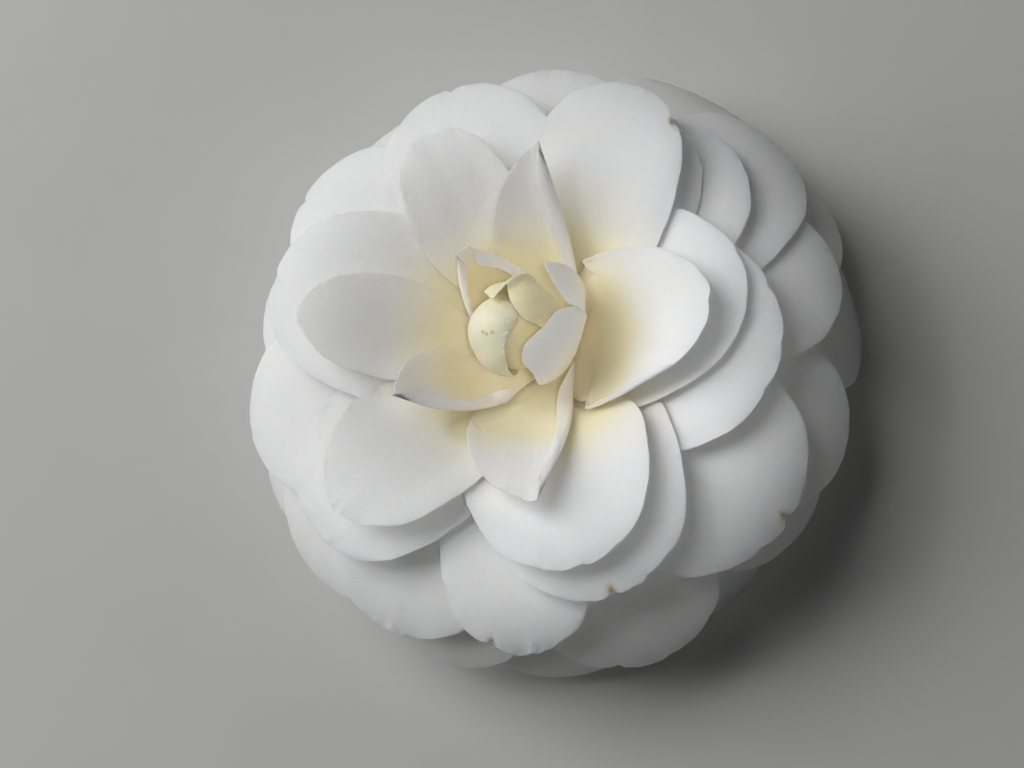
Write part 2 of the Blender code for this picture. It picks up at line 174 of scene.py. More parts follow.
@dataclass(frozen=True)
class Fold:
    """A side strip folded inwards past a line along the blade.

    The line runs from base to tip mm off the midline, and the strip is base_strip to tip_strip mm wide.
    Turn is in degrees, power bends the line, and start is the share of the length where the fold sets in.
    """

    base: float
    tip: float
    base_strip: float
    tip_strip: float
    turn: float
    power: float = 2.5
    start: float = 0.25


@dataclass(frozen=True)
class Petal:
    """A petal on the bowls.

    Azimuth is in degrees, reach is a share of its bowl's length and widest a share of its own.  Half
    width, point, cup, claw and crinkle are mm.  Nicks and tears are (place, depth, spread): depth in mm,
    place and spread in degrees round the margin, with 0 and 180 at the sides and 90 at the tip.
    """

    node: str
    azimuth: float
    bowl: float
    reach: float
    half_width: float
    widest: float = 0.62
    point: float = 0.0
    cup: float = 0.0
    claw: float = 2.3
    fold_minus: Fold | None = None
    fold_plus: Fold | None = None
    nicks: tuple = ()
    tears: tuple = ()
    crinkle: float = 0.12
    rests: bool = False


@dataclass(frozen=True)
class Hood:
    """A hooded petal wrapped round the heart.

    Its free margin runs through points of (bearing, climb, lift): degrees round and up the heart's egg
    shape, and mm off it.  Its foot runs anticlockwise from the first bearing to the last.  Bulge is how
    far its middle stands out past its margin, and the specks are at places of (bearing, climb).
    """

    name: str
    node: str
    margin: tuple
    bulge: float
    cream: float
    specks: tuple = ()


HOODS = (
    Hood("bud_left", "heart_hood_left",
         ((92, 5, 1.2), (85, 35, 0.8), (68, 54, 0.35), (30, 64, 0.22), (-22, 69, 0.2), (-58, 68, 0.25),
          (-76, 60, 0.45), (-86, 50, 0.8), (-88, 38, 1.1), (-90, 24, 1.2), (-92, 2, 1.2)),
         bulge=0.35, cream=0.72, specks=((214, 60), (226, 62), (240, 68))),
    Hood("bud_right", "heart_hood_right",
         ((-14, 10, 2.2), (-12, 38, 2.2), (-10, 51, 2.2), (-8, 60, 2.3), (4, 67, 2.4), (31, 70, 2.6),
          (60, 66, 2.6), (75, 56, 2.8), (80, 50, 3.7), (94, 58, 2.6), (106, 62, 2.2), (114, 50, 2.2),
          (118, 20, 2.1)),
         bulge=0.8, cream=1.0),
    Hood("bud_outer", "heart_hood_outer",
         ((-66, 2, 3.7), (-64, 22, 4.0), (-66, 38, 4.1), (-58, 48, 4.1), (-47, 52, 4.1), (-31, 51, 4.1),
          (-14, 47, 4.2), (0, 42, 4.3), (11, 34, 4.5), (19, 13, 5.2), (19, 27, 5.6), (31, 35, 6.4),
          (42, 36, 7.1), (54, 32, 8.1), (50, 12, 7.2)),
         bulge=0.9, cream=0.1),
)

PETALS = (
    Petal("inner_1", 125, 0.12, 0.73, 8.4, 0.66, 2.0, fold_plus=Fold(7.0, 0.9, 2.0, 1.2, 140),
          fold_minus=Fold(7.4, 0.9, 3.4, 2.2, 125, 3.5)),
    Petal("inner_2", 209, 0.15, 0.85, 7.9, 0.64, 2.4, cup=1.0,
          fold_plus=Fold(4.4, -0.6, 3.6, 0.6, 168, 5.0, start=0.12)),
    Petal("inner_3", 277, 0.19, 0.93, 13.6, 0.42, 2.2, cup=0.7, claw=6.0,
          fold_plus=Fold(4.6, 0.6, 4.0, 0.3, 150, 3.4, start=0.06)),
    Petal("inner_4", 81, 0.21, 0.91, 8.8, 0.62, 2.0, cup=1.5, claw=4.5,
          fold_minus=Fold(6.0, -0.8, 3.4, 0.6, 150, start=0.06)),
    Petal("inner_5", 5, 0.24, 0.91, 14.8, 0.46, cup=2.2, claw=7.0,
          fold_minus=Fold(13.6, 9.4, 1.0, 0.5, 110, 4.0, start=0.0)),
    Petal("row_a_1", 174, 0.28, 0.95, 8.9, 0.68, 0.8),
    Petal("row_a_2", 225, 0.30, 1.02, 12.4, 0.66, 1.0),
    Petal("row_a_3", 284, 0.32, 0.99, 16.6, 0.62, nicks=((86, 0.5, 4), (62, 0.5, 3))),
    Petal("row_a_4", 114, 0.33, 0.92, 9.8, 0.66, nicks=((97, 1.0, 6),)),
    Petal("row_a_5", 63, 0.36, 1.05, 14.0, 0.64, tears=((126, 1.0, 3),)),
    Petal("row_a_6", 13, 0.40, 0.85, 17.5, 0.56),
    Petal("row_b_1", 165, 0.43, 0.97, 17.0, nicks=((90, 1.4, 5),)),
    Petal("row_b_2", 290, 0.45, 0.98, 18.5, 0.60, nicks=((70, 0.6, 3),), tears=((95, 1.2, 3),),
          crinkle=0.18),
    Petal("row_b_3", 356, 0.47, 0.90, 21.0, 0.58, nicks=((60, 0.6, 3), (118, 0.8, 4)), crinkle=0.18),
    Petal("row_b_4", 107, 0.49, 0.98, 16.8, nicks=((92, 1.2, 5),)),
    Petal("row_b_5", 222, 0.50, 0.98, 16.5, crinkle=0.18),
    Petal("row_b_6", 58, 0.52, 0.91, 15.0, 0.64),
    Petal("row_b_7", 43, 0.55, 0.94, 15.0, 0.64),
    Petal("row_c_1", 268, 0.58, 1.04, 13.8, 0.64, tears=((115, 1.3, 3),), crinkle=0.18),
    Petal("row_c_2", 142, 0.60, 0.98, 16.5, nicks=((76, 1.2, 4),)),
    Petal("row_c_3", 322, 0.62, 1.03, 21.0, 0.60, nicks=((108, 0.6, 3),), tears=((84, 1.6, 3),),
          crinkle=0.18),
    Petal("row_c_4", 38, 0.65, 1.08, 16.5),
    Petal("row_c_5", 195, 0.64, 0.99, 17.5),
    Petal("row_c_6", 13, 0.70, 1.01, 15.5),
    Petal("row_c_7", 85, 0.70, 0.96, 17.0),
    Petal("row_c_8", 240, 0.72, 1.02, 17.0, nicks=((70, 0.8, 4),), crinkle=0.2),
    Petal("row_d_1", 222, 0.76, 1.02, 17.0),
    Petal("row_d_2", 290, 0.78, 1.07, 17.5, nicks=((116, 1.5, 4),)),
    Petal("row_d_3", 166, 0.78, 0.93, 17.0),
    Petal("row_d_4", 340, 0.80, 1.02, 17.0),
    Petal("row_d_5", 122, 0.82, 0.95, 17.0),
    Petal("row_d_6", 60, 0.83, 1.13, 16.5),
    Petal("row_d_7", 29, 0.84, 1.10, 16.5),
    Petal("row_d_8", 250, 0.86, 1.03, 16.0),
    Petal("row_d_9", 204, 0.87, 1.0, 16.0),
    Petal("guard_1", 326, 0.91, 0.98, 17.0),
    Petal("guard_2", 182, 0.92, 0.95, 17.0),
    Petal("guard_3", 272, 0.94, 1.03, 17.0),
    Petal("guard_4", 10, 0.95, 1.03, 17.0, rests=True),
    Petal("guard_5", 92, 0.97, 1.0, 17.0, rests=True),
    Petal("guard_6", 47, 0.98, 1.0, 17.0, rests=True),
    Petal("guard_7", 230, 0.99, 1.0, 17.0, rests=True),
    Petal("guard_8", 305, 1.01, 1.0, 17.0, rests=True),
    Petal("guard_9", 142, 1.02, 1.0, 16.5, rests=True),
)

# How far up a petal its cream base reaches, by petal or by row: the shares of its length where full
# cream ends and where pure white begins.
CREAM_REACH = {"inner_1": (0.75, 1.15), "inner_2": (0.45, 0.92), "inner": (0.42, 0.80),
               "row_a": (0.36, 0.76), "row_b": (0.36, 0.72)}
CREAM_ELSEWHERE = (0.25, 0.6)


# ---------------------------------------------------------------- bowls

def running_sum(rows, step):
    """Trapezium-rule running integral along each row."""
    total = np.zeros_like(rows)
    total[:, 1:] = np.cumsum((rows[:, 1:] + rows[:, :-1]) * step / 2, axis=1)
    return total


def bowl_tables():
    """Radius, height, slope and length of every bowl, and the mm between bowls per unit number."""
    keys = np.array(BOWLS)
    fits = [np.polyval(np.polyfit(keys[:, 0], keys[:, i], BOWL_FIT), BOWL_STEPS)
            for i in range(1, keys.shape[1])]
    radius, height, start, middle, end, length = (column[:, None] for column in fits)
    t = LENGTH_STEPS
    slope = np.radians((1 - t) ** 2 * start + 2 * t * (1 - t) * middle + t * t * end)
    step = t[1] - t[0]
    r = radius + length * running_sum(np.cos(slope), step)
    z = height + length * running_sum(np.sin(slope), step)
    r_out = np.gradient(r, BOWL_STEPS, axis=0)
    z_out = np.gradient(z, BOWL_STEPS, axis=0)
    apart = r_out * np.sin(slope) - z_out * np.cos(slope)
    return {"r": r, "z": z, "slope": slope, "apart": np.maximum(apart, LEAST_APART),
            "length": np.repeat(length, t.size, axis=1)}


TABLES = bowl_tables()


def look_up(name, bowl, share):
    """Bilinear value of a bowl table at a bowl number and a share of its length."""
    table = TABLES[name]
    i = (bowl - BOWL_STEPS[0]) / (BOWL_STEPS[1] - BOWL_STEPS[0])
    j = (share - LENGTH_STEPS[0]) / (LENGTH_STEPS[1] - LENGTH_STEPS[0])
    i = np.clip(i, 0, len(BOWL_STEPS) - TABLE_END)
    j = np.clip(j, 0, len(LENGTH_STEPS) - TABLE_END)
    i0 = i.astype(int)
    j0 = j.astype(int)
    fi = i - i0
    fj = j - j0
    low = table[i0, j0] * (1 - fj) + table[i0, j0 + 1] * fj
    high = table[i0 + 1, j0] * (1 - fj) + table[i0 + 1, j0 + 1] * fj
    return low * (1 - fi) + high * fi


def bowl_point(bearing, share, bowl, lift):
    """Points in mm for places on the bowls, raised off them towards the axis by the lift."""
    slope = look_up("slope", bowl, share)
    r = look_up("r", bowl, share) - lift * np.sin(slope)
    z = look_up("z", bowl, share) + lift * np.cos(slope)
    return np.stack([r * np.cos(bearing), r * np.sin(bearing), z], axis=-1)


# ---------------------------------------------------------------- blade shapes

def smooth(x):
    """Smooth 0-to-1 step."""
    x = np.clip(x, 0, 1)
    return x * x * (3 - 2 * x)


def rise(place, start, length):
    """Smooth step that sets in at a place and is full a length further on."""
    return smooth((place - start) / length)


def round_off(a, b):
    """Narrowing of one grid direction by the other that rounds a square grid's end into a blade."""
    return a * np.sqrt(1 - (ROUNDNESS * b) ** 2 / 2)


def grid():
    """Blade grid: u across from side to side, v along from claw to tip."""
    return np.meshgrid(np.linspace(-1, 1, ACROSS), np.linspace(0, 1, ALONG), indexing="ij")


class Ripple:
    """Smooth, seeded wander along a line or over a blade, about -1 to 1."""

    def __init__(self, seed, cycles):
        chance = np.random.default_rng(seed)
        self.cycles = np.array(cycles) * chance.uniform(*CYCLE_RANGE, len(cycles))
        self.phase = chance.uniform(0, 2 * math.pi, len(cycles))
        self.tilt = chance.uniform(-1, 1, len(cycles))
        self.size = 1 / np.sqrt(np.arange(1, len(cycles) + 1))

    def along(self, turn):
        """Value at a place given in turns."""
        waves = [size * np.sin(2 * math.pi * cycles * turn + phase)
                 for cycles, phase, size in zip(self.cycles, self.phase, self.size)]
        return sum(waves) / self.size.sum()

    def over(self, x, y):
        """Value at a place on a blade."""
        waves = [size * np.sin(2 * math.pi * cycles * (x * tilt + y * (1 - abs(tilt))) + phase)
                 for cycles, tilt, phase, size in zip(self.cycles, self.tilt, self.phase, self.size)]
        return sum(waves) / self.size.sum()


def margin_place(u, v, widest):
    """Share of the rounded end passed, place round the margin in degrees, and nearness to it, 0 to 1."""
    q = np.clip((v - widest) / (1 - widest), 0, 1)
    below = np.clip(widest - v, 0, 1) * SIDE_DEGREES
    side = np.where(u < 0, 180 + below, -below)
    place = np.where(q > 0, np.degrees(np.arctan2(q, u)), side)
    return q, place, np.maximum(np.abs(u), q)


def flat_outline(petal, u, v, length, seed):
    """Petal blade laid flat in mm, with its waves, nicks and tears, and looks of its margin.

    Gives x and y, the margin's half width at each row, the place round the margin and nearness to it.
    """
    q, place, near = margin_place(u, v, petal.widest)
    opening = smooth(v / petal.widest)
    half = petal.claw + (petal.half_width - petal.claw) * opening
    x = round_off(u, q) * half
    belly = petal.widest * length
    y = np.where(q > 0, belly + (length - belly) * round_off(q, u), v * length)
    y = y + petal.point * (1 - np.abs(u)) ** 2 * q ** 3
    push = WAVE * Ripple(seed, WAVE_CYCLES).along(place / 180) * near ** WAVE_HUG * opening
    for spot, depth, spread in petal.nicks + petal.tears:
        push = push - depth * np.exp(-np.abs(place - spot) / spread) * near ** NICK_HUG
    out_x = x
    out_y = np.where(q > 0, y - belly, 0)
    size = np.hypot(out_x, out_y) + TINY
    return x + push * out_x / size, y + push * out_y / size, round_off(half, q), place, near


def fold_over(x, edge, fold, v):
    """Fold the strip past a line along the blade inwards: new x and the lift off the blade."""
    if fold is None:
        return x, np.zeros_like(x)
    line = fold.base + (fold.tip - fold.base) * v ** fold.power
    strip = fold.base_strip + (fold.tip_strip - fold.base_strip) * v ** 2
    past = np.clip((x - line) / np.maximum(edge - line, LEAST_STRIP), 0, 1) * strip
    turn = np.radians(fold.turn) * rise(v, fold.start, FOLD_TURN_LENGTH) + LEAST_TURN
    radius = np.minimum(FOLD_RADIUS, strip / (TIGHT_CURL * turn))
    arc = np.minimum(past, radius * turn)
    straight = past - arc
    folded = line + radius * np.sin(arc / radius) + straight * np.cos(turn)
    lift = radius * (1 - np.cos(arc / radius)) + straight * np.sin(turn)
    easy = rise(v, fold.start, FOLD_EASE_LENGTH)
    return np.where(x > line, folded * easy + x * (1 - easy), x), np.where(x > line, lift, 0)


def wide(grid_values, cells, combine):
    """Combination of the values within a square of cells round each entry."""
    for axis in (0, 1):
        pad = [(0, 0), (0, 0)]
        pad[axis] = (cells, cells)
        padded = np.pad(grid_values, pad, mode="edge")
        size = grid_values.shape[axis]
        slices = [np.take(padded, range(k, k + size), axis=axis) for k in range(2 * cells + 1)]
        grid_values = combine(slices)
    return grid_values


class Ceiling:
    """Outermost bowl number reached so far at each bearing and share of the length."""

    def __init__(self):
        self.cells = np.full((CEILING_ANGLES, len(LENGTH_STEPS)), -1.0)

    def index(self, bearing, share):
        i = np.round(bearing / (2 * math.pi) * CEILING_ANGLES).astype(int) % CEILING_ANGLES
        step = LENGTH_STEPS[1] - LENGTH_STEPS[0]
        j = np.clip(np.round(share / step).astype(int), 0, len(LENGTH_STEPS) - 1)
        return i, j

    def lay(self, bearing, share, bowl):
        """Record a petal's outer face, one cell wider all round."""
        i, j = self.index(bearing, share)
        last = len(LENGTH_STEPS) - 1
        for di in (-1, 0, 1):
            for dj in (-1, 0, 1):
                spot = ((i + di) % CEILING_ANGLES, np.clip(j + dj, 0, last))
                np.maximum.at(self.cells, spot, bowl)

    def read(self, bearing, share):
        return self.cells[self.index(bearing, share)]


def drape(petal, reach, ceiling, seed):
    """One petal's blade laid clear of every petal before it.

    Gives its place on the bowls, then where each point is on the blade and its nearness to the margin.
    """
    u, v = grid()
    length = reach * look_up("length", np.array(petal.bowl), np.array(0.0))
    x, y, edge, place, near = flat_outline(petal, u, v, length, seed)
    flat = x / petal.half_width
    x, lift_plus = fold_over(x, edge, petal.fold_plus, v)
    mirrored, lift_minus = fold_over(-x, edge, petal.fold_minus, v)
    x = -mirrored
    lift = lift_minus + lift_plus
    wanted = -petal.cup * flat ** 2 * rise(v, *CUP_RISE)
    flutter = Ripple(seed + 1, RUFFLE_CYCLES).along(place / 180)
    wanted = wanted + RUFFLE * flutter * near ** RUFFLE_HUG * rise(v, *RUFFLE_RISE)
    fine = Ripple(seed + 3, CRINKLE_CYCLES).along(place / 180)
    wanted = wanted + petal.crinkle * fine * near ** CRINKLE_HUG * rise(v, *CRINKLE_RISE)
    wanted = wanted + DENT * Ripple(seed + 2, DENT_CYCLES).over(flat, v) * rise(v, *DENT_RISE)
    own_bowl = np.full_like(u, petal.bowl)
    share = y / look_up("length", own_bowl, np.zeros_like(u))
    own_bowl = petal.bowl + wanted / look_up("apart", own_bowl, share)
    bowl = own_bowl
    centre = math.radians(petal.azimuth)
    clear = PETAL_GAP + PETAL_ROOM / 2 + lift
    for _ in range(DRAPE_PASSES):
        radius = look_up("r", bowl, share)
        bearing = centre + x / np.maximum(radius, LEAST_RADIUS)
        floor = ceiling.read(bearing, share) + clear / look_up("apart", bowl, share)
        short = np.maximum(floor - own_bowl, 0)
        spread = wide(short, SPREAD_CELLS, np.maximum.reduce)
        bowl = own_bowl + wide(spread, SPREAD_CELLS, lambda parts: sum(parts) / len(parts))
    return (bearing, share, bowl, lift), (y / length, flat, place, near)


def resting_reach(petal, ceiling, seed):
    """Reach at which a drooping petal's tip just meets the floor."""
    short, far = SHORTEST_REACH, LONGEST_REACH
    for _ in range(REACH_HALVINGS):
        reach = (short + far) / 2
        points = bowl_point(*drape(petal, reach, ceiling, seed)[0])
        low = points[..., 2].min() < MARGIN_THICKNESS
        short, far = (short, reach) if low else (reach, far)
    return short


# ---------------------------------------------------------------- meshes

def face_normals(points):
    """Unit normals of a gridded surface."""
    normal = np.cross(np.gradient(points, axis=0), np.gradient(points, axis=1))
    return normal / np.linalg.norm(normal, axis=-1, keepdims=True)


def sheet_faces(shape, count):
    """Quads of a closed thin sheet: top, bottom and rim."""
    index = np.arange(count).reshape(shape)
    a, b, c, d = index[:-1, :-1], index[1:, :-1], index[1:, 1:], index[:-1, 1:]
    top = np.stack([a, b, c, d], -1).reshape(-1, 4)
    ring = np.concatenate([index[:, 0], index[-1, 1:], index[-2::-1, -1], index[0, -2:0:-1]])
    following = np.roll(ring, -1)
    rim = np.stack([ring, ring + count, following + count, following], -1)
    return np.vstack([top, top[:, ::-1] + count, rim]).tolist()


def stalk_axis():
    """Where the design's axis and floor stand in the frame."""
    low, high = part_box("stalk")
    return np.array([(low.x + high.x) / 2, (low.y + high.y) / 2, low.z - STALK_FOOT * MM])


AXIS = stalk_axis()


def to_frame(points):
    """Design points in mm to the frame's metres."""
    return points * MM + AXIS


def add_mesh(name, points, faces, material, looks):
    """Smooth-shaded mesh object with its looks as vertex attributes."""
    mesh = bpy.data.meshes.new(name)
    mesh.from_pydata(to_frame(points).tolist(), [], faces)
    mesh.validate()
    for key, values in looks.items():
        attribute = mesh.attributes.new(key, "FLOAT", "POINT")
        attribute.data.foreach_set("value", values.astype(np.float32).ravel())
    mesh.polygons.foreach_set("use_smooth", np.ones(len(mesh.polygons), bool))
    mesh.set_sharp_from_angle(angle=SHARP_ANGLE)
    mesh.materials.append(material)
    thing = bpy.data.objects.new(name, mesh)
    bpy.context.scene.collection.objects.link(thing)
    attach(thing, BODY)
    return thing


def add_sheet(name, points, thickness, material, looks):
    """Closed thin sheet round a gridded mid-surface."""
    offset = face_normals(points) * thickness[..., None] / 2
    both = np.vstack([(points + offset).reshape(-1, 3), (points - offset).reshape(-1, 3)])
    faces = sheet_faces(points.shape[:2], points.shape[0] * points.shape[1])
    doubled = {key: np.tile(values.ravel(), 2) for key, values in looks.items()}
    return add_mesh(name, both, faces, material, doubled)


def add_lathe(name, points, material):
    """Closed solid from rings of points; the first and last rings close to points."""
    sides, rings = points.shape[:2]
    low = sides * (rings - 2)
    index = np.arange(low).reshape(sides, rings - 2)
    following = np.roll(index, -1, axis=0)
    walls = np.stack([index[:, :-1], following[:, :-1], following[:, 1:], index[:, 1:]], -1).reshape(-1, 4)
    bottom = [[low, after, here] for here, after in zip(index[:, 0].tolist(), following[:, 0].tolist())]
    top = [[low + 1, here, after] for here, after in zip(index[:, -1].tolist(), following[:, -1].tolist())]
    poles = np.stack([points[:, 0].mean(axis=0), points[:, -1].mean(axis=0)])
    everything = np.vstack([points[:, 1:-1].reshape(-1, 3), poles])
    share = np.concatenate([np.tile(np.linspace(0, 1, rings)[1:-1], sides), [0, 1]])
    across = np.concatenate([np.repeat(np.linspace(-1, 1, sides), rings - 2), [0, 0]])
    looks = {"share": share, "across": across, "cream": np.ones_like(share), "tan": np.zeros_like(share)}
    return add_mesh(name, everything, walls.tolist() + bottom + top, material, looks)


def cream_share(node, share):
    """How cream a petal is from its base, 1, to its white blade, 0."""
    row = node.rsplit("_", 1)[0]
    low, high = CREAM_REACH.get(node, CREAM_REACH.get(row, CREAM_ELSEWHERE))
    return 1 - rise(share, low, high - low)


def stain(petal, place, near):
    """Tan staining in the tears."""
    tan = np.zeros_like(near)
    for spot, _, spread in petal.tears:
        tan = np.maximum(tan, np.exp(-((place - spot) / spread) ** 2) * rise(near, *STAIN_RISE))
    return tan


def add_petal(petal, ceiling, material, seed):
    """Lay one petal and build its blade."""
    reach = resting_reach(petal, ceiling, seed) if petal.rests else petal.reach
    place_on_bowls, (share, flat, place, near) = drape(petal, reach, ceiling, seed)
    bearing, along, bowl, lift = place_on_bowls
    ceiling.lay(bearing, along, bowl + PETAL_ROOM / 2 / look_up("apart", bowl, along))
    body = MIDDLE_THICKNESS + (CLAW_THICKNESS - MIDDLE_THICKNESS) * (1 - rise(share, *CLAW_RISE))
    thickness = body + (MARGIN_THICKNESS - body) * near ** THIN_HUG * rise(share, *THIN_RISE)
    white_strip = 1 - FOLD_WHITENESS * smooth(lift / FOLD_STEP)
    # The bowl number goes in as painted shade that greys the outer rows' white.
    looks = {"share": share, "across": flat, "cream": cream_share(petal.node, share) * white_strip,
             "painted_shade": np.full_like(share, petal.bowl), "tan": stain(petal, place, near)}
    thing = add_sheet(petal.node + "_blade", bowl_point(*place_on_bowls), thickness, material, looks)
    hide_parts(petal.node)


# ---------------------------------------------------------------- heart

def heart_point(lift, out):
    """Points on the heart's egg shape, lifted off it, for unit directions."""
    return np.array(HEART_CENTRE) + out * (np.array(HEART_HALF_SIZES) + lift[..., None])


def egg_direction(bearing, climb):
    """Unit vectors for bearings and climbs in degrees."""
    a = np.radians(bearing)
    c = np.radians(climb)
    return np.stack([np.cos(c) * np.cos(a), np.cos(c) * np.sin(a), np.sin(c)], -1)


def smooth_line(points, count):
    """Catmull-Rom curve through points, evenly spaced along its length."""
    ends = np.vstack([2 * points[0] - points[1], points, 2 * points[-1] - points[-2]])
    t = np.linspace(0, 1, CURVE_STEPS, endpoint=False)[:, None]
    pieces = []
    for a, b, c, d in zip(ends[:-3], ends[1:-2], ends[2:-1], ends[3:]):
        pieces.append((2 * b + (c - a) * t + (2 * a - 5 * b + 4 * c - d) * t ** 2
                       + (3 * b - a - 3 * c + d) * t ** 3) / 2)
    line = np.vstack(pieces + [points[-1:]])
    gone = np.concatenate([[0], np.cumsum(np.linalg.norm(np.diff(line[:, :3], axis=0), axis=1))])
    even = np.linspace(0, gone[-1], count)
    return np.stack([np.interp(even, gone, column) for column in line.T], -1)


def turn_between(a, b, t):
    """Unit vectors part of the way round the great circle from a to b."""
    angle = np.arccos(np.clip((a * b).sum(-1, keepdims=True), -1, 1))
    return (np.sin((1 - t) * angle) * a + np.sin(t * angle) * b) / np.sin(angle)


def hood_surface(hood, seed):
    """A hooded petal's mid-surface, place across and along, nearness to the margin, and directions."""
    table = np.array(hood.margin, float)
    keys = np.hstack([egg_direction(table[:, 0], table[:, 1]), table[:, 2:]])
    line = smooth_line(keys, HOOD_ACROSS)
    free = line[:, :3] / np.linalg.norm(line[:, :3], axis=1, keepdims=True)
    first, last = table[0, 0], table[-1, 0]
    last = last if last > first else last + 360
    bearing = np.linspace(first, last, HOOD_ACROSS)
    waist = egg_direction(bearing, np.full(HOOD_ACROSS, HOOD_WAIST))
    foot = egg_direction(bearing, np.full(HOOD_ACROSS, HOOD_FOOT))
    v = np.linspace(0, 1, HOOD_ALONG)
    low = np.clip(v / HOOD_WAIST_SHARE, 0, 1)
    high = np.clip((v - HOOD_WAIST_SHARE) / (1 - HOOD_WAIST_SHARE), 0, 1)
    below = turn_between(foot[:, None], waist[:, None], low[None, :, None])
    above = turn_between(waist[:, None], free[:, None], high[None, :, None])
    out = np.where((v > HOOD_WAIST_SHARE)[None, :, None], above, below)
    u = np.repeat(np.linspace(-1, 1, HOOD_ACROSS)[:, None], HOOD_ALONG, axis=1)
    v = np.repeat(v[None], HOOD_ACROSS, axis=0)
    lift = line[:, 3:] * (HOOD_FOOT_LIFT + (1 - HOOD_FOOT_LIFT) * smooth(v / HOOD_WAIST_SHARE))
    lift = lift + hood.bulge * (1 - u ** 2) * np.sin(math.pi * high)[None]
    near = np.maximum(np.abs(u) ** HOOD_SIDE_HUG, high[None])
    lift = lift + HOOD_WAVE * Ripple(seed, HOOD_WAVE_CYCLES).along(u) * near ** HOOD_WAVE_HUG
    return heart_point(lift, out), u, v, near, out


def hood_specks(hood, out):
    """Small tan specks at places on a hood."""
    tan = np.zeros(out.shape[:2])
    for bearing, climb in hood.specks:
        away = np.degrees(np.arccos(np.clip(out @ egg_direction(bearing, climb), -1, 1)))
        tan = np.maximum(tan, np.exp(-(away / SPECK_SIZE) ** 2))
    return tan


def add_hood(hood, material, seed):
    """Build one hooded petal."""
    points, u, v, near, out = hood_surface(hood, seed)
    thickness = HOOD_THICKNESS + (MARGIN_THICKNESS - HOOD_THICKNESS) * near ** HOOD_THIN_HUG
    cream = hood.cream + (1 - hood.cream) * (1 - rise(v, *HOOD_CREAM_RISE))
    looks = {"share": v, "across": u, "cream": cream, "tan": hood_specks(hood, out)}
    thing = add_sheet(hood.name, points, thickness, material, looks)
    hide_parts(hood.node)


def add_heart(material):
    """Closed egg of furled innermost petals."""
    bearing, climb = np.meshgrid(np.linspace(0, 360, HEART_SIDES, endpoint=False),
                                 np.linspace(-90, 90, HEART_RINGS), indexing="ij")
    points = heart_point(np.zeros_like(bearing), egg_direction(bearing, climb))
    thing = add_lathe("heart_bud", points, material)
    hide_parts("heart")


# ---------------------------------------------------------------- stalk and sepals

# Radius and height in mm up the stalk and the cone, points between each pair, and the bark's bumps:
# share of the radius, cycles per turn, and radians per mm of height.
STALK_PROFILE = (
    (0.0, STALK_FOOT), (1.75, STALK_FOOT), (1.95, 0.8), (1.8, 2.2), (1.85, 3.6), (2.3, 4.7), (2.9, 5.5),
    (3.4, 6.6), (4.6, 7.6), (5.9, 8.2), (5.6, 9.4), (4.5, 11.4), (3.4, 13.2), (2.2, 15.2),
    (1.1, 16.6), (0.8, 17.6), (0.0, 18.0),
)
STALK_STEPS = 5
STALK_SIDES = 60
STALK_BUMP = 0.012
STALK_BUMP_CYCLES = (3, 7, 11)
STALK_BUMP_CLIMB = 2.3

# Sepals: length, half width and foot height in mm of the inner and the outer ones, then their shared
# bearing in degrees, widest place, claw, foot radius, spread per mm, slope, curl and thickness.
SEPAL_COUNT = 6
SEPAL_KINDS = ((10.5, 5.6, 5.5), (9.0, 4.8, 4.5))
SEPAL_FIRST = 12
SEPAL_WIDEST = 0.5
SEPAL_CLAW = 1.5
SEPAL_FOOT_RADIUS = 3.55
SEPAL_SPREAD = 0.96
SEPAL_SLOPE = 0.16
SEPAL_CURL = 0.012
SEPAL_THICKNESS = 0.55
SEPAL_MARGIN = 0.20
SEPAL_DRY_HUG = 6


def add_stalk(material):
    """Cut stalk end swelling into the cone the petals grow from."""
    profile = np.array(STALK_PROFILE)
    spans = len(profile) - 1
    steps = np.linspace(0, spans, STALK_STEPS * spans + 1)
    radius = np.interp(steps, np.arange(len(profile)), profile[:, 0])
    height = np.interp(steps, np.arange(len(profile)), profile[:, 1])
    a, r = np.meshgrid(np.linspace(0, 2 * math.pi, STALK_SIDES, endpoint=False), radius, indexing="ij")
    z = np.repeat(height[None], STALK_SIDES, axis=0)
    bumps = Ripple(STALK_SEED, STALK_BUMP_CYCLES).along(a / (2 * math.pi)) * np.sin(z * STALK_BUMP_CLIMB)
    rough = 1 + STALK_BUMP * bumps
    points = np.stack([r * rough * np.cos(a), r * rough * np.sin(a), z], -1)
    thing = add_lathe("stalk_bark", points, material)
    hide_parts("stalk")


def add_sepal(number, material):
    """Cupped green sepal pressed to the underside of the guard petals."""
    u, v = grid()
    length, half_width, foot = SEPAL_KINDS[number % len(SEPAL_KINDS)]
    q = np.clip((v - SEPAL_WIDEST) / (1 - SEPAL_WIDEST), 0, 1)
    half = round_off(SEPAL_CLAW + (half_width - SEPAL_CLAW) * smooth(v / SEPAL_WIDEST), q)
    y = np.where(q > 0, SEPAL_WIDEST + (1 - SEPAL_WIDEST) * round_off(q, u), v) * length
    radius = SEPAL_FOOT_RADIUS + SEPAL_SPREAD * y
    height = foot + SEPAL_SLOPE * y + SEPAL_CURL * y * y
    bearing = math.radians(SEPAL_FIRST + number * 360 / SEPAL_COUNT) + u * half / radius
    points = np.stack([radius * np.cos(bearing), radius * np.sin(bearing), height], -1)
    near = np.maximum(np.abs(u), q)
    thickness = SEPAL_THICKNESS + (SEPAL_MARGIN - SEPAL_THICKNESS) * near ** THIN_HUG
    looks = {"share": v, "across": u, "tan": near ** SEPAL_DRY_HUG}
    node = f"sepal_{number + 1}"
    thing = add_sheet(node + "_blade", points, thickness, material, looks)
    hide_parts(node)
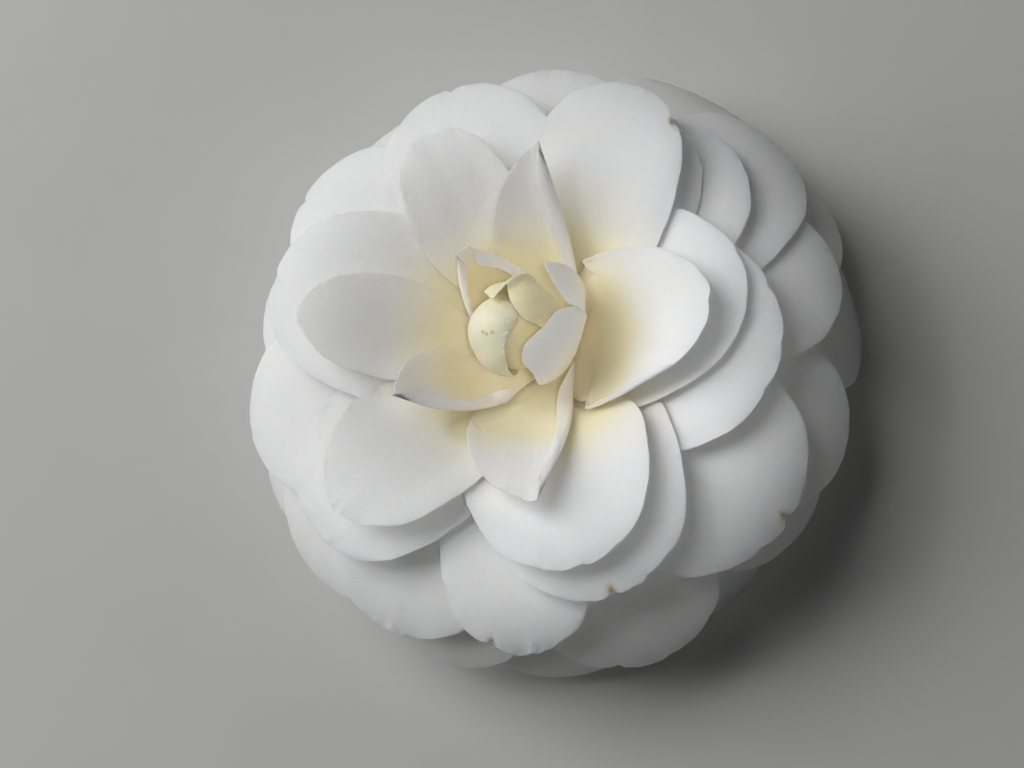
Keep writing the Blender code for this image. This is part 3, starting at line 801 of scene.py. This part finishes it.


# ---------------------------------------------------------------- materials

# Linear colours of the petals, the heart, the sepals and the bark, and the grey of painted shade.
WHITE = (0.91, 0.91, 0.905, 1.0)
CREAM = (0.95, 0.90, 0.77, 1.0)
DEEP_CREAM = (0.97, 0.85, 0.58, 1.0)
HEART_WHITE = (0.97, 0.94, 0.84, 1.0)
HEART_CREAM = (0.97, 0.895, 0.66, 1.0)
HEART_DEEP_CREAM = (0.97, 0.825, 0.50, 1.0)
# Grey of the painted shade that darkens the outer rows' white.
PAINTED_SHADE_GREY = (0.76, 0.76, 0.755, 1.0)
VEIN_GREY = (0.80, 0.80, 0.74, 1.0)
CELL_GREY = (0.78, 0.78, 0.74, 1.0)
STAIN_TAN = (0.42, 0.27, 0.10, 1.0)
SEPAL_DARK = (0.13, 0.19, 0.05, 1.0)
SEPAL_PALE = (0.26, 0.32, 0.12, 1.0)
SEPAL_DRY = (0.24, 0.15, 0.07, 1.0)
BARK_DARK = (0.10, 0.07, 0.035, 1.0)
BARK_PALE = (0.25, 0.22, 0.11, 1.0)

# Hoods with at least this share of cream have the heart's look, and the others the petals'.
CREAMY_HOOD = 0.5


class Nodes:
    """Short helpers to build a material's node tree."""

    def __init__(self, name):
        self.material = bpy.data.materials.new(name)
        self.material.use_nodes = True
        self.tree = self.material.node_tree
        self.shader = self.tree.nodes["Principled BSDF"]

    def add(self, kind, settings=None, **inputs):
        """A node with settings, and inputs that are values or other nodes' outputs."""
        node = self.tree.nodes.new(kind)
        for key, value in (settings or {}).items():
            setattr(node, key, value)
        for key, value in inputs.items():
            self.feed(node.inputs[key.replace("_", " ")], value)
        return node

    def feed(self, socket, value):
        """Link an output to a socket, or set the socket's own value."""
        if isinstance(value, bpy.types.NodeSocket):
            self.tree.links.new(value, socket)
        else:
            socket.default_value = value

    def looks(self, name):
        return self.add("ShaderNodeAttribute", {"attribute_name": name}).outputs["Fac"]

    def maths(self, operation, a, b=0.0, c=0.0):
        node = self.add("ShaderNodeMath", {"operation": operation})
        for socket, value in zip(node.inputs, (a, b, c)):
            self.feed(socket, value)
        return node.outputs[0]

    def mix(self, factor, a, b):
        node = self.add("ShaderNodeMix", {"data_type": "RGBA"})
        self.feed(node.inputs["Factor"], factor)
        self.feed(node.inputs["A"], a)
        self.feed(node.inputs["B"], b)
        return node.outputs["Result"]

    def object_place(self):
        return self.add("ShaderNodeTexCoord").outputs["Object"]

    def noise(self, place, scale, detail=3.0, roughness=0.55):
        return self.add("ShaderNodeTexNoise", Vector=place, Scale=scale, Detail=detail,
                        Roughness=roughness).outputs["Fac"]

    def spread(self, value, low, high, to_low=0.0, to_high=1.0):
        """Map a value from one range to another, held at the ends."""
        node = self.add("ShaderNodeMapRange", {"interpolation_type": "SMOOTHSTEP"})
        for key, number in (("Value", value), ("From Min", low), ("From Max", high),
                            ("To Min", to_low), ("To Max", to_high)):
            self.feed(node.inputs[key], number)
        return node.outputs["Result"]

    def bump(self, height, strength, distance):
        node = self.add("ShaderNodeBump", Height=height, Strength=strength, Distance=distance)
        return node.outputs["Normal"]

    def finish(self, **sockets):
        """Set the shader's sockets: values or outputs."""
        for key, value in sockets.items():
            self.feed(self.shader.inputs[key.replace("_", " ")], value)
        return self.material


def blade_place(nodes, across, along):
    """Coordinates that run with the blade, stretched for veins."""
    joined = nodes.add("ShaderNodeCombineXYZ", X=nodes.maths("MULTIPLY", nodes.looks("across"), across),
                       Y=nodes.maths("MULTIPLY", nodes.looks("share"), along))
    return joined.outputs[0]


def petal_material(name, white, cream, depth):
    """Velvety petal: cream base, painted shade on outer rows, faint veins and cells, stained tears."""
    nodes = Nodes(name)
    place = nodes.object_place()
    veins = nodes.noise(blade_place(nodes, across=26.0, along=2.2), scale=1.0, detail=4.0)
    blotch = nodes.noise(place, scale=180.0, detail=3.0)
    patchy = nodes.maths("MULTIPLY", nodes.maths("SUBTRACT", blotch, 0.5), 0.16)
    creamy = nodes.maths("ADD", nodes.looks("cream"), patchy)
    # Painted shade: the white greys by bowl number towards the outer rows.
    shaded_white = nodes.mix(nodes.spread(nodes.looks("painted_shade"), low=0.4, high=1.0), white, PAINTED_SHADE_GREY)
    blade = nodes.mix(nodes.spread(creamy, low=0.0, high=0.55), shaded_white, cream)
    blade = nodes.mix(nodes.spread(creamy, low=0.5, high=1.0), blade, depth)
    blade = nodes.mix(nodes.spread(veins, low=0.35, high=0.7, to_high=0.10), blade, VEIN_GREY)
    cells = nodes.noise(place, scale=3200.0, detail=2.0, roughness=0.6)
    blade = nodes.mix(nodes.spread(cells, low=0.3, high=0.75, to_high=0.14), blade, CELL_GREY)
    blade = nodes.mix(nodes.looks("tan"), blade, STAIN_TAN)
    coarse = nodes.noise(place, scale=900.0, detail=2.0, roughness=0.5)
    height = nodes.maths("MULTIPLY_ADD", veins, 0.35, nodes.maths("MULTIPLY_ADD", coarse, 0.5, cells))
    rough = nodes.spread(blotch, low=0.3, high=0.7, to_low=0.52, to_high=0.64)
    return nodes.finish(Base_Color=blade, Roughness=rough,
                        Normal=nodes.bump(height, strength=0.5, distance=0.0002),
                        Sheen_Weight=0.12, Sheen_Roughness=0.5, Subsurface_Weight=0.8,
                        Subsurface_Radius=(1.0, 0.95, 0.85), Subsurface_Scale=0.0008,
                        Specular_IOR_Level=0.35)


def sepal_material():
    """Green bract with a brown, dry margin and the sheen of fine hairs."""
    nodes = Nodes("sepal_look")
    veins = nodes.noise(blade_place(nodes, across=14.0, along=2.0), scale=1.0, detail=4.0)
    green = nodes.mix(nodes.spread(veins, low=0.3, high=0.7), SEPAL_DARK, SEPAL_PALE)
    colour = nodes.mix(nodes.spread(nodes.looks("tan"), low=0.1, high=0.9), green, SEPAL_DRY)
    height = nodes.maths("ADD", veins, nodes.noise(nodes.object_place(), scale=1500.0))
    rough = nodes.spread(veins, low=0.3, high=0.7, to_low=0.5, to_high=0.7)
    return nodes.finish(Base_Color=colour, Roughness=rough,
                        Normal=nodes.bump(height, strength=0.5, distance=0.0002),
                        Sheen_Weight=0.3, Sheen_Roughness=0.4)


def bark_material():
    """Brown-green young bark with lengthwise cracks."""
    nodes = Nodes("bark_look")
    stretched = nodes.add("ShaderNodeMapping", Vector=nodes.object_place(), Scale=(1.0, 1.0, 0.25))
    cracks = nodes.noise(stretched.outputs[0], scale=1400.0, detail=5.0)
    colour = nodes.mix(nodes.spread(cracks, low=0.35, high=0.65), BARK_DARK, BARK_PALE)
    rough = nodes.spread(cracks, low=0.3, high=0.7, to_low=0.6, to_high=0.85)
    return nodes.finish(Base_Color=colour, Roughness=rough,
                        Normal=nodes.bump(cracks, strength=0.7, distance=0.0004))


# ---------------------------------------------------------------- stage

# Camera: angle off the flower's axis and bearing round it, then distance in metres, lens and shift.
CAMERA_TILT = math.radians(18)
CAMERA_BEARING = math.radians(-53)
CAMERA_DISTANCE = 0.340
CAMERA_NEAR = 0.01
CAMERA_LENS = 71.7
CAMERA_SHIFT = (-0.0215, -0.0352)
AIM_HEIGHT = 0.025

FLOOR_HALF = 1.5
FLOOR_DROP = 0.00015
FLOOR_DARK = (0.54, 0.54, 0.53, 1.0)
FLOOR_PALE = (0.58, 0.58, 0.57, 1.0)
SKY = (0.97, 0.98, 1.0, 1.0)
SKY_STRENGTH = 0.02


def look_from(thing, direction, distance, target):
    """Place a camera or light on a line from the target, facing it, with +Y up in its view."""
    back = Vector(direction).normalized()
    right = Vector((0, 1, 0)).cross(back).normalized()
    up = back.cross(right)
    turn = Matrix((right, up, back)).transposed()
    thing.matrix_world = Matrix.Translation(Vector(target) + back * distance) @ turn.to_4x4()


def add_camera(target):
    camera = bpy.data.objects.new("camera", bpy.data.cameras.new("camera"))
    bpy.context.scene.collection.objects.link(camera)
    camera.data.lens = CAMERA_LENS
    camera.data.shift_x, camera.data.shift_y = CAMERA_SHIFT
    camera.data.clip_start = CAMERA_NEAR
    side = math.sin(CAMERA_TILT)
    direction = (side * math.cos(CAMERA_BEARING), side * math.sin(CAMERA_BEARING), math.cos(CAMERA_TILT))
    look_from(camera, direction, CAMERA_DISTANCE, target)
    bpy.context.scene.camera = camera


def add_light(name, target, direction, distance, size, power):
    """Square white studio light."""
    lamp = bpy.data.lights.new(name, "AREA")
    lamp.size = size
    lamp.energy = power
    thing = bpy.data.objects.new(name, lamp)
    bpy.context.scene.collection.objects.link(thing)
    look_from(thing, direction, distance, target)


def add_heart_light(target):
    """Narrow soft pool of light over the heart, fading out before the outer petals."""
    lamp = bpy.data.lights.new("heart_light", "SPOT")
    lamp.energy = 5.0
    lamp.spot_size = math.radians(10.5)
    lamp.spot_blend = 1.0
    lamp.shadow_soft_size = 0.04
    thing = bpy.data.objects.new("heart_light", lamp)
    bpy.context.scene.collection.objects.link(thing)
    look_from(thing, direction=(0.25, -0.25, 0.93), distance=0.5, target=target)


def add_floor():
    """Plain pale floor a hair below the bloom."""
    corners = [(-FLOOR_HALF, -FLOOR_HALF, 0), (FLOOR_HALF, -FLOOR_HALF, 0),
               (FLOOR_HALF, FLOOR_HALF, 0), (-FLOOR_HALF, FLOOR_HALF, 0)]
    mesh = bpy.data.meshes.new("floor")
    mesh.from_pydata(corners, [], [(0, 1, 2, 3)])
    floor = bpy.data.objects.new("floor", mesh)
    floor.location.z = -FLOOR_DROP
    bpy.context.scene.collection.objects.link(floor)
    nodes = Nodes("floor_look")
    grain = nodes.noise(nodes.object_place(), scale=40.0)
    mesh.materials.append(nodes.finish(Base_Color=nodes.mix(grain, FLOOR_DARK, FLOOR_PALE), Roughness=0.9))


def add_stage(target):
    """Floor, soft key light from the left, top light, the heart's light and a faint fill."""
    add_floor()
    add_light("key", target, direction=(-0.83, 0.27, 0.60), distance=0.9, size=0.7, power=5.0)
    add_light("top", target, direction=(-0.40, 0.30, 1.0), distance=0.9, size=0.5, power=2.6)
    add_heart_light(target)
    world = bpy.data.worlds.new("studio")
    world.use_nodes = True
    background = world.node_tree.nodes["Background"]
    background.inputs["Color"].default_value = SKY
    background.inputs["Strength"].default_value = SKY_STRENGTH
    bpy.context.scene.world = world
    bpy.context.scene.view_settings.view_transform = "Standard"


# ---------------------------------------------------------------- build

def build():
    """The whole bloom, heart first."""
    petal_look = petal_material("petal_look", WHITE, CREAM, DEEP_CREAM)
    heart_look = petal_material("heart_look", HEART_WHITE, HEART_CREAM, HEART_DEEP_CREAM)
    add_heart(heart_look)
    for number, hood in enumerate(HOODS):
        look = heart_look if hood.cream >= CREAMY_HOOD else petal_look
        add_hood(hood, look, HOOD_SEED + number)
    ceiling = Ceiling()
    for number, petal in enumerate(PETALS):
        add_petal(petal, ceiling, petal_look, PETAL_SEEDS * number)
    sepal_look = sepal_material()
    for number in range(SEPAL_COUNT):
        add_sepal(number, sepal_look)
    add_stalk(bark_material())
    target = (AXIS[0], AXIS[1], AIM_HEIGHT)
    add_camera(target)
    add_stage(target)


build()
